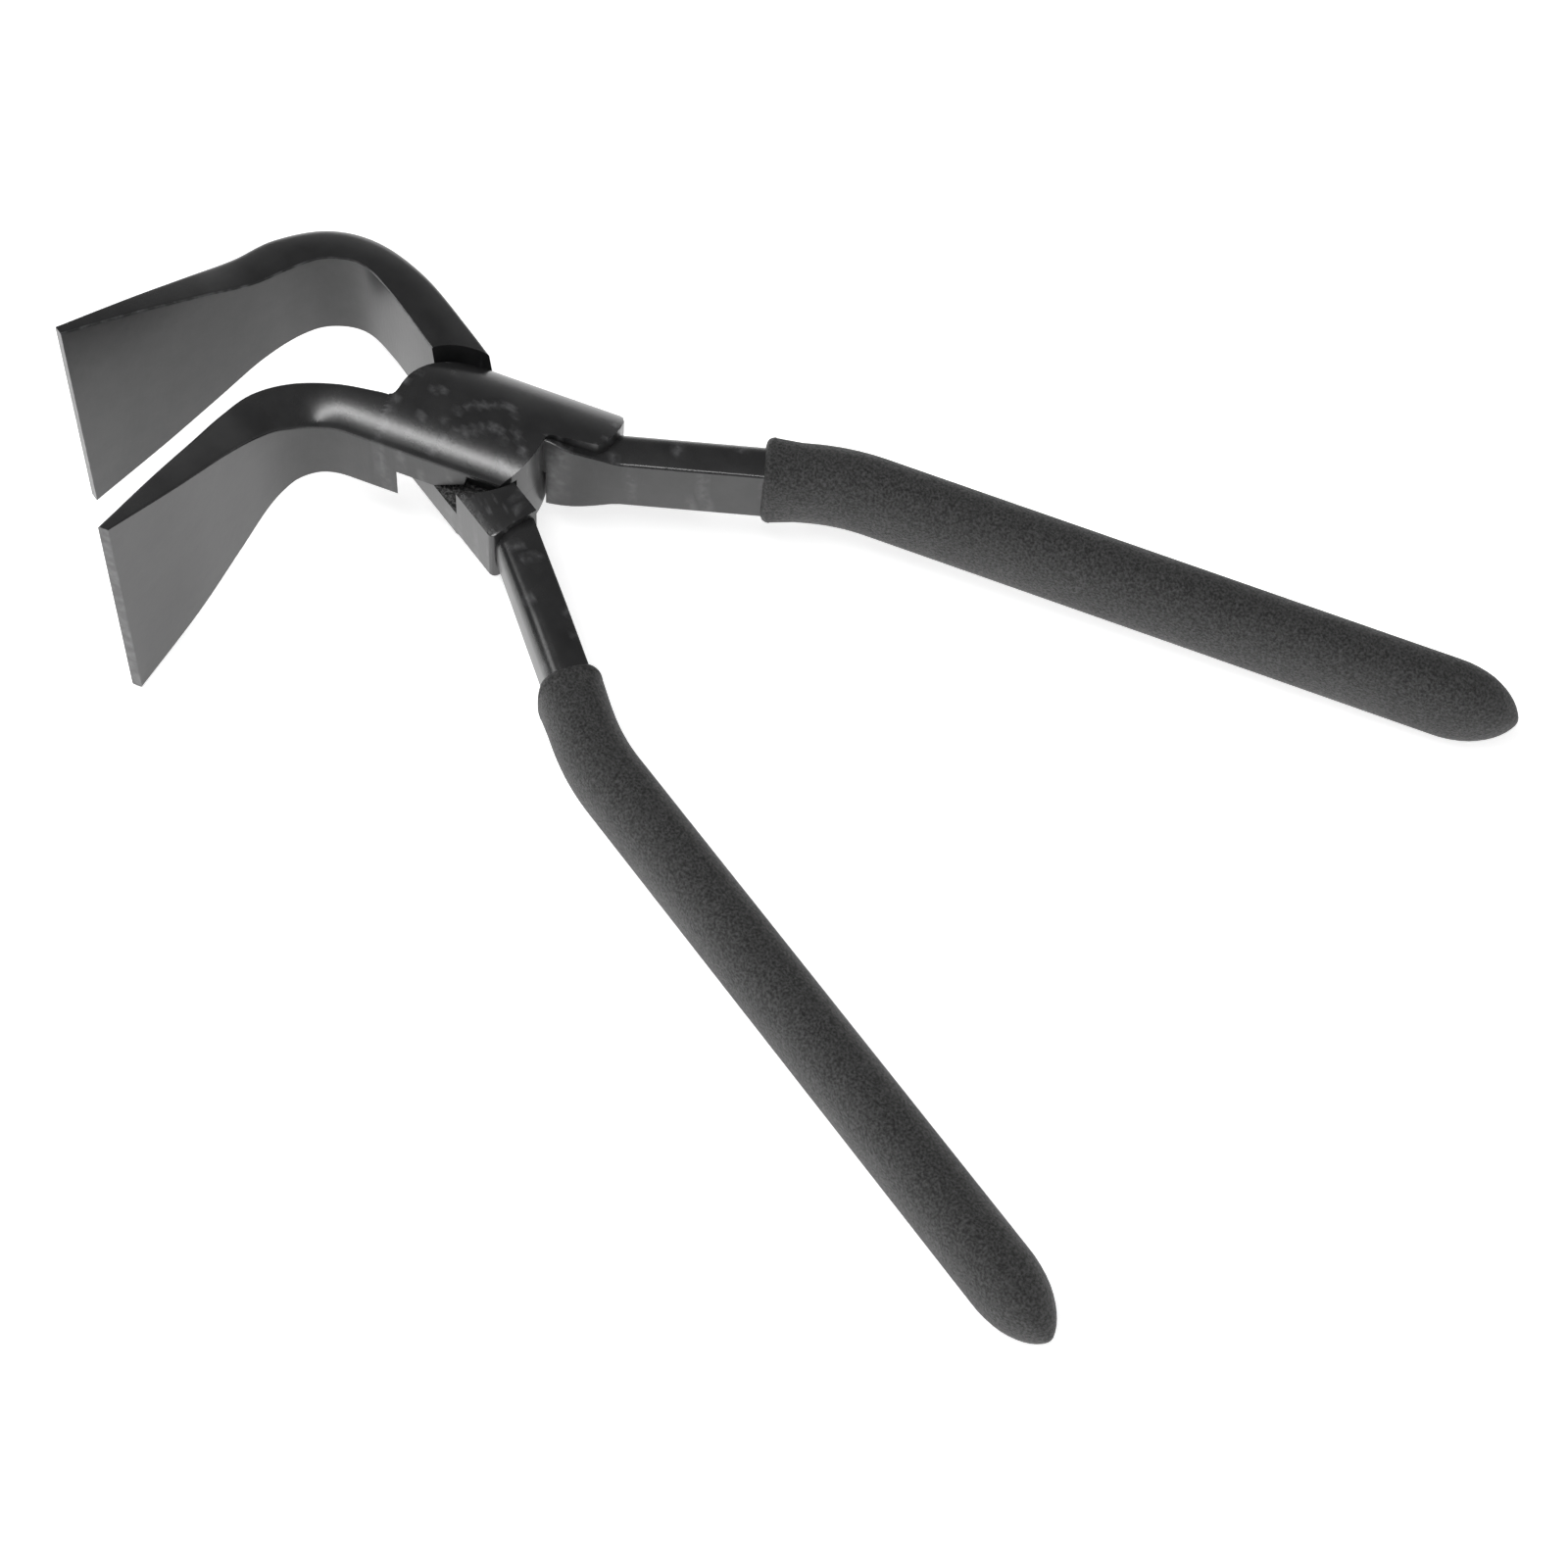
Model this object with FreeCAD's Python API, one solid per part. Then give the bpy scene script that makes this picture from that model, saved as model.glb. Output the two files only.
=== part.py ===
import FreeCAD, Part
import math
import os

# Bent seaming pliers, 60 mm blades, millimetres.
# The origin is the centre of the joint: on the pivot axis, in the plane where the two half-laps meet.
# +Z runs up the pivot axis and +X towards the handles, along the middle of the opening.
# Both arms are drawn with the jaws shut, and each is then swung half of the rest opening about Z.
# The jaws point along -X from the joint and bend to -Y.

# ---- driving dimensions ----
BLADE_WIDTH = 60.0
TIP_THICKNESS = 2.1
TIP_Y = -62.2
TIP_X = -49.7
FACE_LENGTH = 44.0
TIP_FACE_GAP = 0.16
FACE_STOCK = 0.12
DRESSING_DEPTH = 10.0
SPAN_STEPS = 3
LOWER_FACE_LEAN = 0.8
UPPER_FACE_LEAN = -6.2
REST_OPENING = 33.08

# The forged bar at the joint: an ellipse 24 high, split lengthwise between the two arms.
BAR_HALF_HEIGHT = 12.0
BAR_HALF_WIDTH = 16.9
BAR_MIDDLE_Y = 0.6

# Flat sides that the bar is dressed to: the front of the tool, the back of the jaw and of the handle.
FRONT_SIDE_Y = -11.4
JAW_BACK_Y = 12.9
LUG_BACK_Y = 15.8
LUG_END_X = 26.4
BLOCK_END_X = 24.3
ROOT_LOW_Z = -8.3
BLOCK_TOP_Z = 8.3
# Inner face of the upper arm's lug, at its foot and at its top, and of the lower arm's block.
LUG_INNER_LOW_Y = 0.3
LUG_INNER_HIGH_Y = 2.6
BLOCK_INNER_Y = -0.3

# Half-lap joint.
NECK_ROOT_X = 12.0
WEB_ROOT_X = 4.0
DISC_R = 15.8
SHOULDER_R = 16.3
# The back jaw's neck leans away from the boss: this radius at the top of the bar.
NECK_SHOULDER_R = 18.0
LAP_GAP = 0.04
RIVET_R = 5.0
RIVET_CLEARANCE = 0.05
# Larger than the joint in every direction, for the solids that only trim it.
BEYOND = 40.0

# Shanks: D-shaped bars, flat on the side that faces the other handle.
SHANK_THICKNESS = 8.8
SHANK_HALF_HEIGHT = 8.3
SHANK_SIDE_HALF_HEIGHT = 7.3
SHANK_CROWN_Y = 0.4
SHANK_TURN = (1.3, 2.6)

# Handle line with the jaws shut, upper arm; the lower arm's is its mirror image.
SHANK_START = (20.0, 4.4)
HANDLE_BEND = (73.8, 20.9)
GRIP_END_X = 217.4
BEND_RADIUS = 46.0

# Dipped vinyl grips.
GRIP_WIDTH = 13.3
GRIP_HEIGHT = 20.0
GRIP_START = 39.5
GRIP_NOSE = 15.0
# The mouth's rolled edge: distance from the front, and how much smaller the section is there.
GRIP_MOUTH = ((0.0, 1.6), (0.5, 0.5), (1.5, 0.1))
# The nose's profile: part of its length, and the section's scale there.
GRIP_NOSE_PROFILE = (
    (0, 1),
    (0.2, 0.985),
    (0.4, 0.93),
    (0.6, 0.81),
    (0.77, 0.62),
    (0.9, 0.38),
    (0.97, 0.18),
    (1, 0.06),
)
GRIP_SQUARENESS = 0.9
GRIP_POINTS = 16
BEND_STEPS = 5
CORE_STOP = 13.0

Z = FreeCAD.Vector(0, 0, 1)
ORIGIN = FreeCAD.Vector(0, 0, 0)


def vec(x, y, z=0.0):
    return FreeCAD.Vector(x, y, z)


def box(x0, x1, y0, y1, z0, z1):
    return Part.makeBox(x1 - x0, y1 - y0, z1 - z0, vec(x0, y0, z0))


def cylinder(radius, z0, z1):
    return Part.makeCylinder(radius, z1 - z0, vec(0, 0, z0), Z)


def jaw_section(flat_side, round_side, flat_h, round_h, crown):
    """One upright section of a jaw, between two points of its plan.

    The flat side is the full height with sharp corners. The round side is lower, and the top and the
    bottom are bowed out between the two by crown."""
    fx, fy = flat_side
    rx, ry = round_side
    mx = (fx + rx) / 2
    my = (fy + ry) / 2
    mid_h = (flat_h + round_h) / 2 + crown
    flat_top = vec(fx, fy, flat_h)
    flat_low = vec(fx, fy, -flat_h)
    round_top = vec(rx, ry, round_h)
    round_low = vec(rx, ry, -round_h)
    edges = [
        Part.makeLine(flat_low, flat_top),
        Part.Arc(flat_top, vec(mx, my, mid_h), round_top).toShape(),
        Part.makeLine(round_top, round_low),
        Part.Arc(round_low, vec(mx, my, -mid_h), flat_low).toShape(),
    ]
    return Part.Wire(edges)


def between(before, start, end, after, part):
    """Catmull-Rom value between start and end, for one number of a station."""
    bend = 2 * before - 5 * start + 4 * end - after
    wave = 3 * start - before - 3 * end + after
    return start + 0.5 * part * (end - before + part * (bend + part * wave))


def filled_in(stations):
    """The stations with SPAN_STEPS - 1 more between each pair, on a smooth curve."""
    rows = [[*flat, *rounded, *heights] for flat, rounded, *heights in stations]
    rows = [rows[0]] + rows + [rows[-1]]
    smooth = []
    for i in range(1, len(rows) - 2):
        for step in range(SPAN_STEPS):
            around = zip(rows[i - 1], rows[i], rows[i + 1], rows[i + 2])
            smooth.append([between(*four, step / SPAN_STEPS) for four in around])
    smooth.append(rows[-1])
    return [((row[0], row[1]), (row[2], row[3]), row[4], row[5], row[6]) for row in smooth]


def jaw(stations, face_x, face_lean, outward):
    """Solid through the sections of one jaw, from its tip to the joint.

    The gripping face is then dressed flat, on a plane through face_x at the tip that leans face_lean
    degrees about Z; outward is +1 or -1 for the side of the plane that is taken off."""
    forged = Part.makeLoft([jaw_section(*station) for station in filled_in(stations)], True, True)
    near, far = sorted((0.0, outward * DRESSING_DEPTH))
    dressing = box(near, far, -1, FACE_LENGTH, -BLADE_WIDTH, BLADE_WIDTH)
    dressing.rotate(ORIGIN, Z, face_lean)
    dressing.translate(vec(face_x, TIP_Y))
    return forged.cut(dressing)


def joint_bar():
    """Oval bar that both halves of the joint are cut from."""
    oval = Part.Ellipse(ORIGIN, BAR_HALF_WIDTH, BAR_HALF_HEIGHT).toShape()
    face = Part.Face(Part.Wire([oval]))
    face.rotate(ORIGIN, vec(1, 0, 0), 90)
    face.rotate(ORIGIN, Z, 90)
    face.translate(vec(-BEYOND, BAR_MIDDLE_Y, 0))
    return face.extrude(vec(2 * BEYOND, 0, 0))


# ---- jaws: (flat side, round side, flat half height, round half height, crown) ----
HALF_BLADE = BLADE_WIDTH / 2

# Upper arm's jaw: its flat side is at the back and meets the other jaw, its round side is inside the bend.
UPPER_JAW = [
    ((TIP_X + 0.2, TIP_Y), (TIP_X + 0.2 + TIP_THICKNESS, TIP_Y), HALF_BLADE, HALF_BLADE, 0.02),
    ((-47.6, -45.0), (-42.1, -45.0), 23.9, 23.7, 0.1),
    ((-46.2, -31.0), (-38.6, -31.0), 18.2, 17.9, 0.3),
    ((-44.9, -20.5), (-36.0, -21.8), 13.9, 13.2, 0.6),
    ((-41.9, -12.2), (-33.2, -16.6), 12.2, 10.2, 0.9),
    ((-36.0, -6.8), (-29.2, -13.2), 12.0, 8.8, 1.0),
    ((-28.0, -3.4), (-24.8, -11.6), 12.0, 8.1, 1.0),
    ((-20.0, -1.9), (-19.0, -11.4), 12.0, 7.7, 1.0),
    ((-10.0, -1.6), (-10.0, -11.4), 12.0, 7.7, 1.0),
]

# Lower arm's jaw: its flat side faces the upper jaw round the inside of the bend.
LOWER_JAW = [
    ((TIP_X - 0.1, TIP_Y), (TIP_X - 0.1 - TIP_THICKNESS, TIP_Y), HALF_BLADE, HALF_BLADE, 0.02),
    ((-49.9, -45.0), (-54.5, -45.0), 23.9, 23.6, 0.1),
    ((-50.1, -31.0), (-57.0, -31.0), 18.2, 17.4, 0.2),
    ((-50.2, -19.5), (-59.4, -19.0), 13.4, 11.8, 0.5),
    ((-50.4, -10.0), (-60.2, -8.6), 12.0, 10.2, 0.6),
    ((-48.8, -3.2), (-56.6, 2.4), 12.0, 9.4, 0.6),
    ((-43.6, 2.0), (-48.6, 9.7), 12.0, 8.8, 0.6),
    ((-35.0, 3.5), (-36.0, JAW_BACK_Y), 11.9, 8.5, 0.6),
    ((-20.0, 3.7), (-20.0, JAW_BACK_Y), 11.9, 8.5, 0.6),
    ((-4.0, 3.7), (-4.0, JAW_BACK_Y - 0.4), 11.2, 7.8, 0.4),
]


# ---- handles ----
def handle_angle():
    return math.atan2(HANDLE_BEND[1] - SHANK_START[1], HANDLE_BEND[0] - SHANK_START[0])


def handle_path(end_x):
    """Shank line, bend arc and grip line, as (start, tangent point, tangent point, end, arc centre)."""
    angle = handle_angle()
    run = BEND_RADIUS * math.tan(angle / 2)
    bend_x, bend_y = HANDLE_BEND
    first = vec(bend_x - run * math.cos(angle), bend_y - run * math.sin(angle))
    second = vec(bend_x + run, bend_y)
    centre = vec(bend_x + run, bend_y - BEND_RADIUS)
    return vec(*SHANK_START), first, second, vec(end_x, bend_y), centre


def shank_section():
    """D-shaped section across +X: flat on its -Y side, rounded on its +Y side."""
    inner = -SHANK_THICKNESS / 2
    outer = SHANK_THICKNESS / 2
    edge_h = SHANK_SIDE_HALF_HEIGHT
    top_h = SHANK_HALF_HEIGHT
    turn_y = outer - SHANK_TURN[0]
    turn_h = top_h - SHANK_TURN[1]
    corners = [
        vec(0, inner, -edge_h),
        vec(0, inner, edge_h),
        vec(0, turn_y, turn_h),
        vec(0, turn_y, -turn_h),
    ]
    edges = [
        Part.makeLine(corners[0], corners[1]),
        Part.Arc(corners[1], vec(0, SHANK_CROWN_Y, top_h), corners[2]).toShape(),
        Part.Arc(corners[2], vec(0, outer, 0), corners[3]).toShape(),
        Part.Arc(corners[3], vec(0, SHANK_CROWN_Y, -top_h), corners[0]).toShape(),
    ]
    return Part.Face(Part.Wire(edges))


def shank():
    """Steel core of a handle, from inside the joint to near the end of the grip."""
    start, first, second, end, centre = handle_path(GRIP_END_X - CORE_STOP)
    angle = math.degrees(handle_angle())
    section = shank_section()
    section.rotate(ORIGIN, Z, angle)
    section.translate(start)
    straight = section.extrude(first - start)
    section.translate(first - start)
    bend = section.revolve(centre, Z, -angle)
    tail = shank_section()
    tail.translate(second)
    return straight.fuse(bend).fuse(tail.extrude(end - second)).removeSplitter()


def squared(value):
    """A sine or cosine, pushed outwards so that an ellipse gets fuller corners."""
    return math.copysign(abs(value) ** GRIP_SQUARENESS, value)


def grip_section(centre, angle, width, height):
    """Closed rounded outline across the handle at one place."""
    points = []
    for step in range(GRIP_POINTS):
        turn = 2 * math.pi * step / GRIP_POINTS
        across = squared(math.cos(turn)) * width / 2
        up = squared(math.sin(turn)) * height / 2
        points.append(vec(-math.sin(angle) * across, math.cos(angle) * across, up) + centre)
    spline = Part.BSplineCurve()
    spline.interpolate(Points=points, PeriodicFlag=True)
    return Part.Wire([spline.toShape()])


def grip_outside():
    """Outer shape of a grip: rolled front edge, the bend, a long straight and a drawn-out end."""
    start, first, _second, end, centre = handle_path(GRIP_END_X)
    angle = handle_angle()
    along = (first - start).normalize()
    sections = []
    for offset, inset in GRIP_MOUTH:
        place = start + along * (GRIP_START + offset)
        sections.append(grip_section(place, angle, GRIP_WIDTH - inset, GRIP_HEIGHT - inset))
    for step in range(BEND_STEPS + 1):
        turn = angle * (1 - step / BEND_STEPS)
        place = centre + vec(-math.sin(turn), math.cos(turn)) * BEND_RADIUS
        sections.append(grip_section(place, turn, GRIP_WIDTH, GRIP_HEIGHT))
    nose_start = end - vec(GRIP_NOSE, 0)
    for part, scale in GRIP_NOSE_PROFILE:
        place = nose_start + vec(GRIP_NOSE * part, 0)
        sections.append(grip_section(place, 0.0, GRIP_WIDTH * scale, GRIP_HEIGHT * scale))
    return Part.makeLoft(sections, True, True)


def mirrored(shape):
    return shape.mirror(ORIGIN, vec(0, 1, 0))


# ---- arms ----
def lug_block(inner_low, inner_high, outer, low, high, end_x):
    """Block on the handle side of the joint, its inner face leaning back from the other arm."""
    outline = [(inner_low, low), (outer, low), (outer, high), (inner_high, high)]
    corners = [vec(DISC_R / 2, y, z) for y, z in outline]
    face = Part.Face(Part.makePolygon(corners + corners[:1]))
    return face.extrude(vec(end_x - DISC_R / 2, 0, 0))


def upper_arm():
    """Front jaw, the upper half of the joint with its smooth boss, and the handle on the +Y side."""
    front_flat = box(-BEYOND, BEYOND, -BEYOND, FRONT_SIDE_Y, -BEYOND, BEYOND)
    disc = cylinder(DISC_R, LAP_GAP, BEYOND).cut(front_flat)
    neck_side = box(-NECK_ROOT_X, 0, FRONT_SIDE_Y, 0, LAP_GAP, BEYOND)
    back_side = box(0, NECK_ROOT_X, DISC_R / 2, LUG_BACK_Y, LAP_GAP, BEYOND)
    lug_top = BAR_HALF_HEIGHT + 1
    lug = lug_block(LUG_INNER_LOW_Y, LUG_INNER_HIGH_Y, LUG_BACK_Y, ROOT_LOW_Z, lug_top, LUG_END_X)
    oval = disc.fuse([neck_side, back_side, lug]).common(joint_bar())
    front_jaw = jaw(UPPER_JAW, TIP_X + TIP_FACE_GAP + FACE_STOCK / 2, UPPER_FACE_LEAN, -1)
    steel = front_jaw.fuse([oval, shank()])
    steel = steel.cut(cylinder(SHOULDER_R, -BEYOND, LAP_GAP))
    steel = steel.cut(cylinder(RIVET_R, -BEYOND, BEYOND))
    return steel.removeSplitter()


def lower_arm():
    """Back jaw, the lower half of the joint, and the handle on the -Y side."""
    front_flat = box(-BEYOND, BEYOND, -BEYOND, FRONT_SIDE_Y, -BEYOND, BEYOND)
    disc = cylinder(DISC_R, -BEYOND, 0).cut(front_flat)
    web = box(-WEB_ROOT_X, BLOCK_END_X, FRONT_SIDE_Y, BLOCK_INNER_Y, -BEYOND, 0)
    block = lug_block(BLOCK_INNER_Y, BLOCK_INNER_Y, FRONT_SIDE_Y, ROOT_LOW_Z, BLOCK_TOP_Z, BLOCK_END_X)
    oval = disc.fuse(web).common(joint_bar())
    lean = Part.makeCone(SHOULDER_R, NECK_SHOULDER_R, BAR_HALF_HEIGHT)
    back_jaw = jaw(LOWER_JAW, TIP_X - FACE_STOCK, LOWER_FACE_LEAN, 1).cut(lean)
    steel = back_jaw.fuse([oval, block, mirrored(shank())])
    steel = steel.cut(cylinder(SHOULDER_R, 0, BEYOND))
    steel = steel.cut(cylinder(RIVET_R + RIVET_CLEARANCE, -BEYOND, BEYOND))
    return steel.removeSplitter()


def rivet():
    """Pivot rivet, ground flush with the oval surface at both ends."""
    return cylinder(RIVET_R, -BEYOND, BEYOND).common(joint_bar())


def grip(handle_core):
    return grip_outside().cut(handle_core)


def swing(shape, degrees):
    shape.rotate(ORIGIN, Z, degrees)
    return shape


os.makedirs("parts", exist_ok=True)
half = REST_OPENING / 2
core = shank()
grip_shell = grip(core)
pieces = {
    "upper_arm": swing(upper_arm(), half),
    "upper_arm_grip": swing(grip_shell.copy(), half),
    "pivot_rivet": swing(rivet(), half),
    "lower_arm": swing(lower_arm(), -half),
    "lower_arm_grip": swing(mirrored(grip_shell), -half),
}
for name, shape in pieces.items():
    if len(shape.Solids) != 1 or not shape.isValid():
        print("CHECK", name, len(shape.Solids), shape.isValid())
    print(name, round(shape.Volume), shape.BoundBox)
    shape.exportStep("parts/" + name + ".step")
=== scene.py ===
import math

import bmesh
import bpy
from mathutils import Matrix, Vector


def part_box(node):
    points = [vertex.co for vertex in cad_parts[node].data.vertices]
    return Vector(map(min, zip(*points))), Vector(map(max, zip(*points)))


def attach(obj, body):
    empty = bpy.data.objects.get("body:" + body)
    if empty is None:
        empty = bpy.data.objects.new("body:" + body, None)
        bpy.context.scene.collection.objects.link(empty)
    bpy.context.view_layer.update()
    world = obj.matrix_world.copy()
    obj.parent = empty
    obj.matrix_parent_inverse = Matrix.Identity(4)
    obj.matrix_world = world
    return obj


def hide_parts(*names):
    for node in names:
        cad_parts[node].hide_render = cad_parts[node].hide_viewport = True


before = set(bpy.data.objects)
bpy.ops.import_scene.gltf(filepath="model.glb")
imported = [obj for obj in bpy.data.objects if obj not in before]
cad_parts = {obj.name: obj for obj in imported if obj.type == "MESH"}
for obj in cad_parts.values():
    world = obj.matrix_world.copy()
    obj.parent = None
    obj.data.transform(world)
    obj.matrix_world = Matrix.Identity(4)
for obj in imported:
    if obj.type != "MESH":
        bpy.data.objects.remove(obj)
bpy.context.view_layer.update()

# ---- Upper arm ----
# One steel drop forging: the front jaw, a neck bent round to the joint, the smooth oval boss with its lug,
# and the shank inside the grip. Its sides are dressed flat and it is dipped in a thin glossy black lacquer.
# Its sizes are millimetres about the pivot, with the jaws shut.
REST_SWING = math.radians(16.54)
OVAL_HALF_HEIGHT = 12.0
OVAL_HALF_WIDTH = 16.9
OVAL_MIDDLE_Y = 0.6
FRONT_SIDE_Y = -11.4
EDGE_ROLL_Y = 1.1
EDGE_ROLL_Z = 0.75
LAP_GAP = 0.04
DISC_R = 15.8
SHOULDER_R = 16.3
LUG_BACK_Y = 15.8
LUG_END_X = 28.6
NECK_END_X = -17.0
OVAL_STEPS = 44
BAR_STEP = 1.6
SMALL_BEVEL = 0.3
RING_ACROSS = 9
# Well past the joint across and up, for the solids that only trim it.
BEYOND = 20.0
SPAN_STEPS = 8
# How far behind the tip the band of worn edge and painted highlight reaches, as part of the first span.
TIP_WEAR_AND_HIGHLIGHT = 0.2
# Places in a jaw's ring that lie on its flat side's upper and lower edge.
FLAT_EDGES = (3, 4, -3, -4)


def oval_top(y):
    """Height of the forged bar's oval surface at distance y across the joint."""
    across = (y - OVAL_MIDDLE_Y) / OVAL_HALF_WIDTH
    return OVAL_HALF_HEIGHT * math.sqrt(max(0.0, 1.0 - across * across))


def rolled(start, corner, end, steps):
    """Points of a rounded corner between start and end, without the two ends."""
    points = []
    for step in range(1, steps):
        t = step / steps
        points.append(start * (1 - t) ** 2 + corner * (2 * t * (1 - t)) + end * t * t)
    return points


def jaw_ring(flat, rounded, flat_h, round_h, crown, roll, oval_share):
    """Closed ring of points round a jaw, from its flat side across to its round side and back.

    crown bows the top and bottom out, roll is the round side's corner radius, and oval_share turns the
    top from that bow into the joint's oval."""
    width = (rounded - flat).length
    flat_roll = min(0.5, 0.2 * width)

    def top(across):
        t = across / width
        bowed = flat_h + (round_h - flat_h) * t + 4 * crown * t * (1 - t)
        y = flat.y + (rounded.y - flat.y) * t
        return bowed * (1 - oval_share) + oval_top(y) * oval_share

    flat_edge = Vector((0, top(0) - flat_roll))
    top_start = Vector((flat_roll, top(flat_roll)))
    top_end = Vector((width - roll, top(width - roll)))
    side_top = Vector((width, top(width) - 0.7 * roll))
    half = [Vector((0, 0)), flat_edge * 0.5, flat_edge]
    half += rolled(flat_edge, Vector((0, top(0))), top_start, 3)
    for step in range(RING_ACROSS + 1):
        across = top_start.x + (top_end.x - top_start.x) * step / RING_ACROSS
        half.append(Vector((across, top(across))))
    half += rolled(top_end, Vector((width, top(width))), side_top, 4)
    half += [side_top, Vector((width, side_top.y * 0.5)), Vector((width, 0))]
    lower = [Vector((p.x, -p.y)) for p in reversed(half[1:-1])]
    along = (rounded - flat).normalized()
    return [Vector((flat.x + along.x * p.x, flat.y + along.y * p.x, p.y)) for p in half + lower]


def between(before, start, end, after, t):
    """Catmull-Rom value between start and end."""
    bend = 2 * before - 5 * start + 4 * end - after
    wave = 3 * start - before - 3 * end + after
    return start + 0.5 * t * (end - before + t * (bend + t * wave))


def filled_in(rows):
    """Rows of numbers with more between each pair, on a smooth curve."""
    rows = [rows[0]] + rows + [rows[-1]]
    smooth = []
    for i in range(1, len(rows) - 2):
        for step in range(SPAN_STEPS):
            around = zip(rows[i - 1], rows[i], rows[i + 1], rows[i + 2])
            smooth.append([between(*four, step / SPAN_STEPS) for four in around])
    return smooth + [rows[-1]]


def skinned(rings, worn_and_highlit=()):
    """Closed solid through rings of points: each ring is extruded to the next, and the ends are capped.

    The first ring and the given places on every ring are marked as edges that wear and carry a painted
    highlight."""
    solid = bmesh.new()
    layer = solid.verts.layers.float.new("edge")
    ring = [solid.verts.new(point) for point in rings[0]]
    for vert in ring:
        vert[layer] = float(len(worn_and_highlit) > 0)
    for i, vert in enumerate(ring):
        solid.edges.new((vert, ring[i - 1]))
    solid.faces.new(ring)
    for points in rings[1:]:
        edges = [solid.edges.get((vert, ring[i - 1])) for i, vert in enumerate(ring)]
        grown = bmesh.ops.extrude_edge_only(solid, edges=edges)["geom"]
        fresh = {item for item in grown if isinstance(item, bmesh.types.BMVert)}
        ring = [next(e.other_vert(v) for e in v.link_edges if e.other_vert(v) in fresh) for v in ring]
        for vert, point in zip(ring, points):
            vert.co = point
            vert[layer] = 0.0
        for i in worn_and_highlit:
            ring[i][layer] = 1.0
    solid.faces.new(ring)
    bmesh.ops.recalc_face_normals(solid, faces=solid.faces)
    return solid


def jaw_solid(stations):
    """Jaw through its stations, with both edges of its flat side and its tip marked for wear and a painted
    highlight.
    """
    rings = []
    for row in filled_in([list(station) for station in stations]):
        rings.append(jaw_ring(Vector(row[0:2]), Vector(row[2:4]), *row[4:9]))
    behind_tip = [start.lerp(end, TIP_WEAR_AND_HIGHLIGHT) for start, end in zip(rings[0], rings[1])]
    return skinned(rings[:1] + [behind_tip] + rings[1:], worn_and_highlit=FLAT_EDGES)


def extruded(points, along):
    """Prism on an outline of 3-D points."""
    solid = bmesh.new()
    outline = solid.faces.new([solid.verts.new(point) for point in points])
    grown = bmesh.ops.extrude_face_region(solid, geom=[outline])["geom"]
    moved = [item for item in grown if isinstance(item, bmesh.types.BMVert)]
    bmesh.ops.translate(solid, vec=along, verts=moved)
    bmesh.ops.recalc_face_normals(solid, faces=solid.faces)
    return solid


def drum(radius, low, high, segments=160, top_radius=None):
    """Upright cylinder on the pivot axis, or a cone if it has a top_radius."""
    solid = bmesh.new()
    middle = Matrix.Translation((0, 0, (low + high) / 2))
    bmesh.ops.create_cone(
        solid,
        cap_ends=True,
        segments=segments,
        radius1=radius,
        radius2=top_radius or radius,
        depth=high - low,
        matrix=middle,
    )
    return solid


def scratch_object(solid):
    """Throw-away object that holds a solid for a boolean."""
    mesh = bpy.data.meshes.new("scratch")
    solid.to_mesh(mesh)
    solid.free()
    scratch = bpy.data.objects.new("scratch", mesh)
    bpy.context.scene.collection.objects.link(scratch)
    return scratch


def fitted(base, tool, operation):
    """Exact boolean of two solids, which are both used up."""
    block = scratch_object(base)
    cutter = scratch_object(tool)
    fit = block.modifiers.new("fit", "BOOLEAN")
    fit.operation = operation
    fit.object = cutter
    fit.solver = "EXACT"
    bpy.context.view_layer.update()
    solid = bmesh.new()
    solid.from_object(block, bpy.context.evaluated_depsgraph_get())
    for scratch in (block, cutter):
        mesh = scratch.data
        bpy.data.objects.remove(scratch)
        bpy.data.meshes.remove(mesh)
    bmesh.ops.remove_doubles(solid, verts=solid.verts, dist=0.004)
    return solid


def bevelled(solid, width, left_alone):
    """Rounds the sharp edges of a solid, apart from those with both ends where left_alone says."""
    solid.normal_update()
    sharp = []
    for edge in solid.edges:
        hidden = all(left_alone(vert.co) for vert in edge.verts)
        if len(edge.link_faces) == 2 and edge.calc_face_angle(0) > math.radians(30) and not hidden:
            sharp.append(edge)
    made = bmesh.ops.bevel(
        solid,
        geom=sharp,
        offset=width,
        offset_type="OFFSET",
        segments=2,
        profile=0.5,
        affect="EDGES",
        clamp_overlap=True,
        material=-1,
    )
    layer = solid.verts.layers.float.get("edge") or solid.verts.layers.float.new("edge")
    for face in made["faces"]:
        for vert in face.verts:
            vert[layer] = 1.0
    return solid


def arc(radius, start, end, steps):
    """Points of an arc about the pivot, in degrees."""
    turns = [math.radians(start + (end - start) * step / steps) for step in range(steps + 1)]
    return [(radius * math.cos(turn), radius * math.sin(turn)) for turn in turns]


def bar_along(outline, start_x, end_x):
    """Bar of one (y, z) outline along X, cut across often enough for even shading."""
    count = math.ceil((end_x - start_x) / BAR_STEP)
    cuts = [start_x + (end_x - start_x) * step / count for step in range(count + 1)]
    return skinned([[Vector((x, p.x, p.y)) for p in outline] for x in cuts])


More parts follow.
